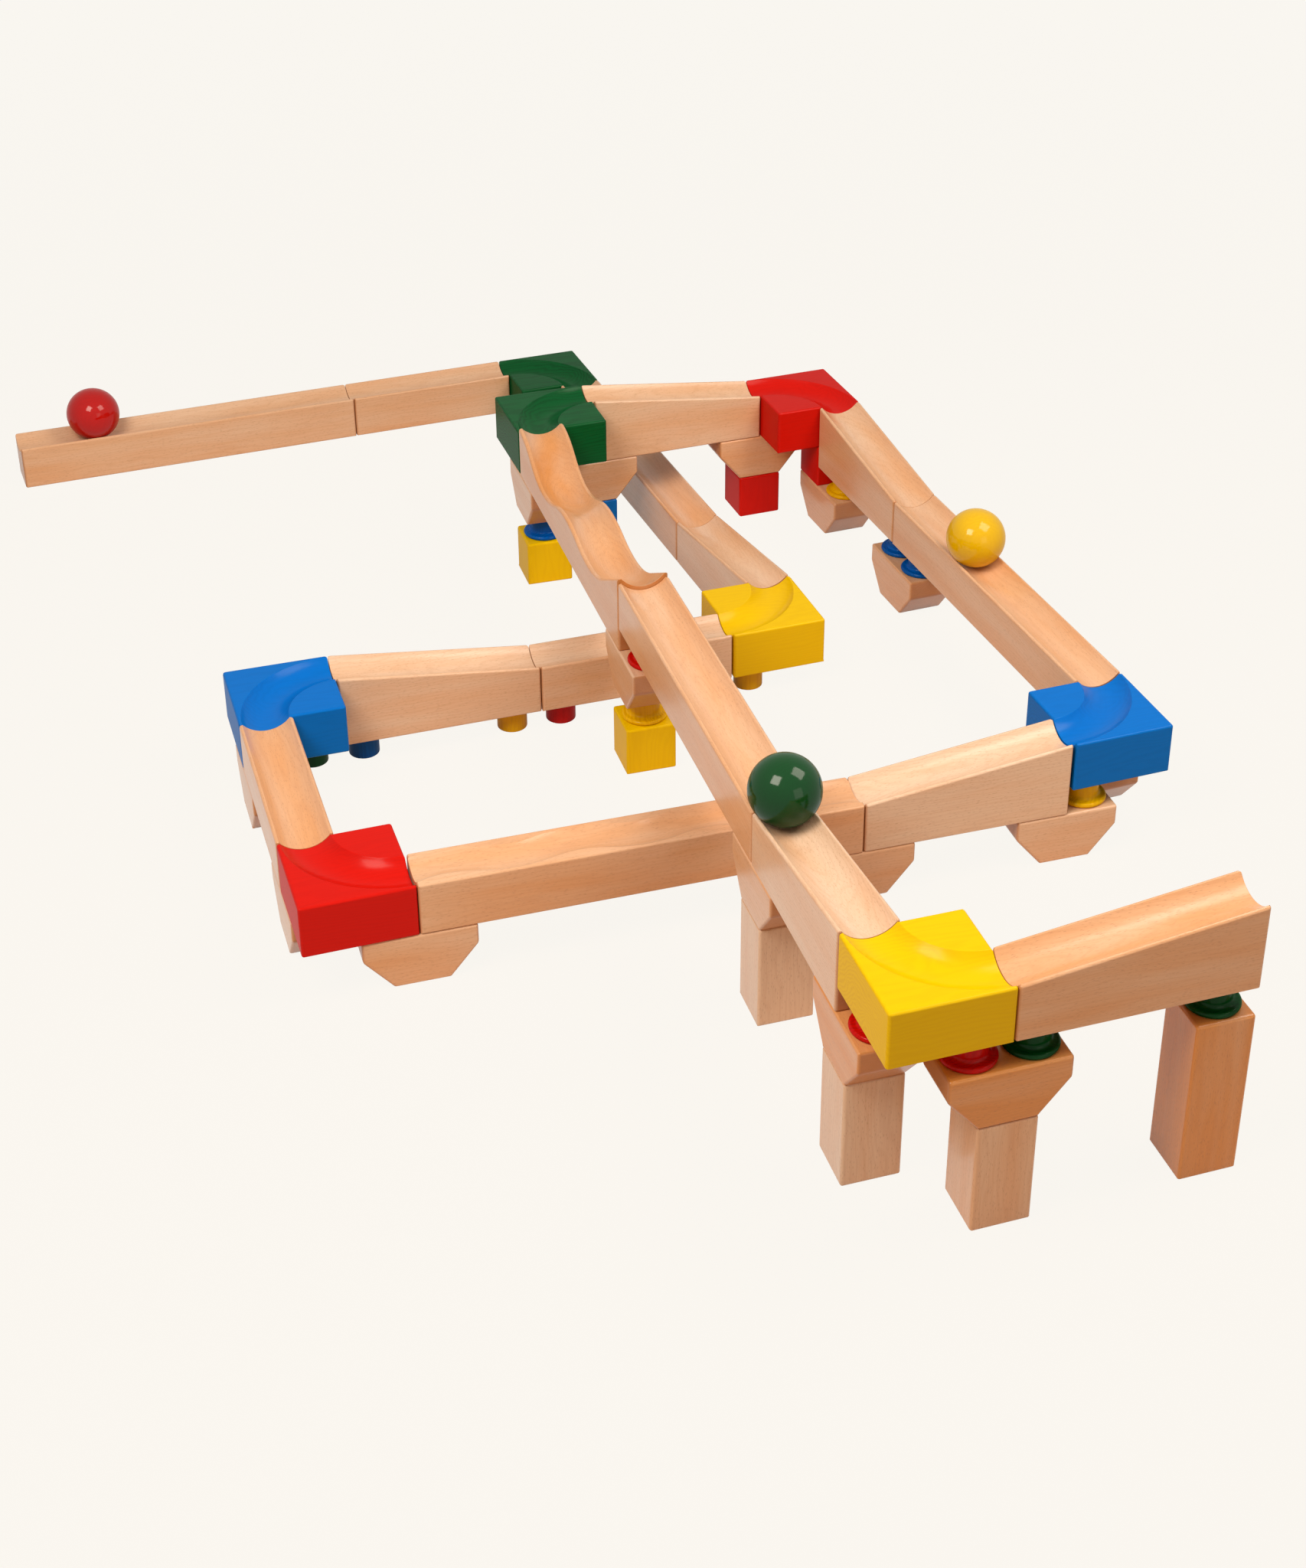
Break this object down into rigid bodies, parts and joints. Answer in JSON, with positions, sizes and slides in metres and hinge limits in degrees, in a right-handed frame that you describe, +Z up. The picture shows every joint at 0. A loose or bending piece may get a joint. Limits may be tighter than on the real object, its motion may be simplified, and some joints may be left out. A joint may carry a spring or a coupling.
{
  "type": "marble run",
  "caption": "Wooden marble run of grooved tracks, ramps and coloured corner blocks on bridges, columns, cubes and turned pegs, with large wooden marbles.",
  "frame": {"origin": "on the floor, at the middle of the rectangle that the whole run covers", "axes": "+Z up; +X from the run's left side to its right, along the high start ramp's length; +Y from the high start towards the far exit"},
  "size_m": [0.765, 1.2676, 0.2029],
  "materials": {
    "beech": "bare beech, sanded smooth with eased edges",
    "blue_block": "blue stain and lacquer over beech",
    "green_block": "green stain and lacquer over beech",
    "green_lacquer": "wooden ball with glossy green paint",
    "red_block": "red stain and lacquer over beech",
    "red_lacquer": "wooden ball with glossy red paint",
    "turned_blue": "turned beech with glossy blue paint",
    "turned_green": "turned beech with glossy green paint",
    "turned_red": "turned beech with glossy red paint",
    "turned_yellow": "turned beech with glossy yellow paint",
    "yellow_block": "yellow stain and lacquer over beech",
    "yellow_lacquer": "wooden ball with glossy yellow paint"
  },
  "bodies": {
    "run": {"ramp_1": "beech", "yellow_corner_top": "yellow_block", "ramp_2": "beech", "straight_1": "beech", "wave_track": "beech", "green_corner_top": "green_block", "ramp_3": "beech", "red_corner_back": "red_block", "ramp_4": "beech", "straight_2": "beech", "blue_corner_right": "blue_block", "ramp_5": "beech", "slalom_track": "beech", "red_corner_front": "red_block", "straight_3": "beech", "blue_corner_left": "blue_block", "ramp_6": "beech", "straight_4": "beech", "yellow_corner_low": "yellow_block", "ramp_7": "beech", "straight_5": "beech", "green_corner_floor": "green_block", "straight_6": "beech", "straight_7": "beech", "bridge_01": "beech", "bridge_02": "beech", "bridge_03": "beech", "bridge_04": "beech", "bridge_05": "beech", "bridge_06": "beech", "bridge_07": "beech", "bridge_08": "beech", "bridge_09": "beech", "bridge_10": "beech", "bridge_11": "beech", "bridge_12": "beech", "bridge_13": "beech", "straight_3_bridge_front": "beech", "straight_3_bridge_back": "beech", "start_column": "beech", "column_1": "beech", "column_2": "beech", "column_3": "beech", "yellow_cube_front": "yellow_block", "yellow_cube_back": "yellow_block", "blue_cube": "blue_block", "red_cube_back": "red_block", "red_cube_right": "red_block", "red_pegs": "turned_red", "green_pegs": "turned_green", "blue_pegs": "turned_blue", "yellow_pegs": "turned_yellow", "tall_green_peg": "turned_green"},
    "green_ball": {"green_ball": "green_lacquer"},
    "yellow_ball": {"yellow_ball": "yellow_lacquer"},
    "red_ball": {"red_ball": "red_lacquer"}
  },
  "joints": [
    {"name": "green_roll", "type": "slide", "parent": "run", "child": "green_ball", "axis": [-0.0087, -0.9922, 0.124], "range_m": [0, 0.1265]},
    {"name": "yellow_roll", "type": "slide", "parent": "run", "child": "yellow_ball", "axis": [0.061, -0.9981, 0], "range_m": [-0.089, 0.181]},
    {"name": "red_roll", "type": "slide", "parent": "run", "child": "red_ball", "axis": [-0.9976, -0.0698, 0], "range_m": [-0.223, 0.047]}
  ]
}
